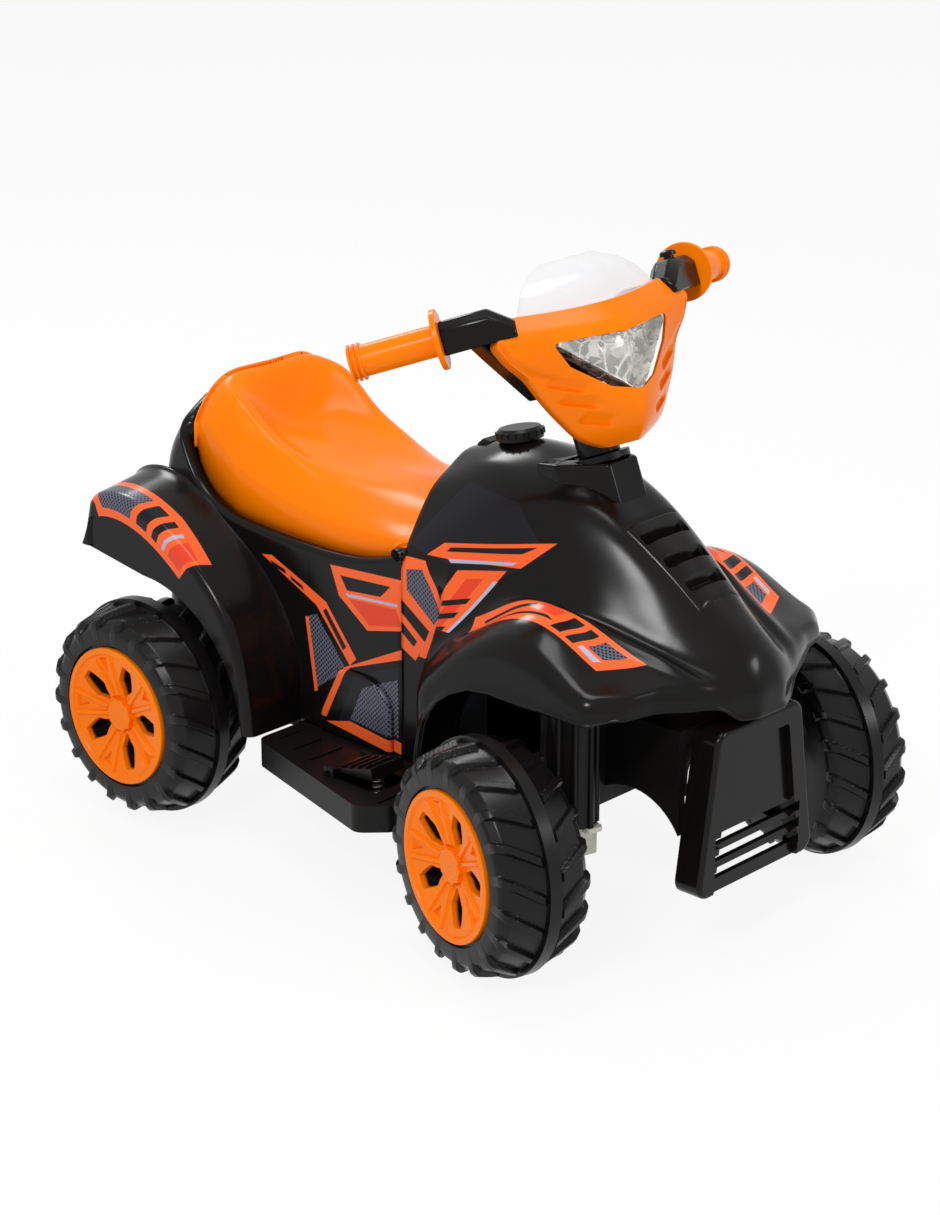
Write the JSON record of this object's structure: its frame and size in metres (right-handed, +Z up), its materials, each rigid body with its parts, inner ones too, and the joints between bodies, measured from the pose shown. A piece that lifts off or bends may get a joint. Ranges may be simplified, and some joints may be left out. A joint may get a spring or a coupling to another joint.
{
  "type": "ride-on quad bike",
  "caption": "Child's battery ride-on quad with sculpted bodywork, dished saddle, steered front wheels on a raked column, geared rear drive, pedal and headlight fairing.",
  "frame": {"origin": "on the ground below the middle of the toy", "axes": "+X forward, +Y to the rider's left, +Z up"},
  "size_m": [0.6852, 0.491, 0.5521],
  "materials": {
    "body_black": "satin moulded",
    "frame_black": "fine grain",
    "orange_gloss": "gloss moulded",
    "tyre_black": "moulded tread",
    "nylon_white": "natural nylon",
    "clear": "clear",
    "silver": "vacuum metallised",
    "steel": "zinc plated",
    "gear_white": "moulded",
    "brass": "turned",
    "battery_grey": "moulded"
  },
  "bodies": {
    "frame": {"front_cowl": "body_black", "rear_body": "body_black", "seat": "orange_gloss", "chassis": "frame_black", "front_bumper": "body_black", "tank_cap": "frame_black", "neck_ring": "frame_black", "rear_axle": "steel", "axle_spacer": "frame_black", "rear_push_nuts": "steel", "gearbox_case": "frame_black", "gearbox_cover": "frame_black", "motor": "steel", "battery": "battery_grey", "pedal_switch": "frame_black", "pedal_spring": "steel", "body_screws": "steel"},
    "steering_column": {"handlebar": "body_black", "grip_right": "orange_gloss", "grip_left": "orange_gloss", "front_fairing": "orange_gloss", "headlight_lens": "clear", "headlight_reflector": "silver", "headlight_bulb": "clear", "windshield": "clear", "steering_shaft": "steel"},
    "horn": {"horn_button": "orange_gloss"},
    "rocker": {"direction_switch": "frame_black"},
    "pedal": {"accelerator_pedal": "body_black"},
    "right_steer": {"right_axle_bar": "steel", "right_knuckle": "nylon_white", "right_steering_arm": "steel", "right_push_nut": "steel"},
    "left_steer": {"left_axle_bar": "steel", "left_knuckle": "nylon_white", "left_steering_arm": "steel", "left_push_nut": "steel"},
    "steering_link": {"tie_rod": "steel"},
    "front_right_wheel": {"front_right_tyre": "tyre_black", "front_right_cover": "orange_gloss"},
    "front_left_wheel": {"front_left_tyre": "tyre_black", "front_left_cover": "orange_gloss"},
    "rear_right_wheel": {"rear_right_tyre": "tyre_black", "rear_right_cover": "orange_gloss", "drive_gear": "gear_white"},
    "rear_left_wheel": {"rear_left_tyre": "tyre_black", "rear_left_cover": "orange_gloss"},
    "compound": {"reduction_gear": "gear_white"},
    "motor_rotor": {"motor_shaft": "steel", "motor_pinion": "brass"}
  },
  "joints": [
    {"name": "steering", "type": "hinge", "parent": "frame", "child": "steering_column", "pos_m": [0.15535, 0, 0.385], "axis": [-0.3665, 0, 0.9304], "range_deg": [-10, 40]},
    {"name": "right_kingpin", "type": "hinge", "parent": "frame", "child": "right_steer", "pos_m": [0.22235, -0.105, 0.1], "axis": [0, 0, 1], "range_deg": [-10, 40]},
    {"name": "left_kingpin", "type": "hinge", "parent": "frame", "child": "left_steer", "pos_m": [0.22235, 0.105, 0.1], "axis": [0, 0, 1], "range_deg": [-10, 40]},
    {"name": "tie_rod_pivot", "type": "hinge", "parent": "right_steer", "child": "steering_link", "pos_m": [0.19337, -0.09724, 0.224], "axis": [0, 0, 1], "range_deg": [-40, 10]},
    {"name": "front_right_spin", "type": "hinge", "parent": "right_steer", "child": "front_right_wheel", "pos_m": [0.20164, -0.18227, 0.1], "axis": [0.2588, 0.9659, 0], "continuous": true},
    {"name": "front_left_spin", "type": "hinge", "parent": "left_steer", "child": "front_left_wheel", "pos_m": [0.24306, 0.18227, 0.1], "axis": [0.2588, 0.9659, 0], "continuous": true},
    {"name": "rear_left_spin", "type": "hinge", "parent": "frame", "child": "rear_left_wheel", "pos_m": [-0.24265, 0.1575, 0.1], "axis": [0, 1, 0], "continuous": true},
    {"name": "rear_right_spin", "type": "hinge", "parent": "frame", "child": "rear_right_wheel", "pos_m": [-0.24265, -0.1575, 0.1], "axis": [0, 1, 0], "continuous": true},
    {"name": "reduction_spin", "type": "hinge", "parent": "frame", "child": "compound", "pos_m": [-0.20036, -0.062, 0.11539], "axis": [0, 1, 0], "continuous": true},
    {"name": "motor_spin", "type": "hinge", "parent": "frame", "child": "motor_rotor", "pos_m": [-0.16794, -0.062, 0.12719], "axis": [0, 1, 0], "continuous": true},
    {"name": "accelerator", "type": "hinge", "parent": "frame", "child": "pedal", "pos_m": [0.00235, -0.146, 0.108], "axis": [0, 1, 0], "range_deg": [0, 7], "stiffness_Nm_per_rad": 1, "springref_deg": -5.73},
    {"name": "direction_rocker", "type": "hinge", "parent": "frame", "child": "rocker", "pos_m": [0.03477, 0, 0.36495], "axis": [0, 1, 0], "range_deg": [-9, 9]},
    {"name": "horn_press", "type": "slide", "parent": "steering_column", "child": "horn", "axis": [0.3665, 0, -0.9304], "range_m": [0, 0.002], "stiffness_N_per_m": 300, "springref_m": -0.003}
  ],
  "couplings": [
    {"joint": "right_kingpin", "follows": "steering", "ratio": 1},
    {"joint": "left_kingpin", "follows": "steering", "ratio": 1},
    {"joint": "tie_rod_pivot", "follows": "steering", "ratio": -1},
    {"joint": "reduction_spin", "follows": "rear_right_spin", "ratio": -4},
    {"joint": "motor_spin", "follows": "rear_right_spin", "ratio": 14.4}
  ]
}
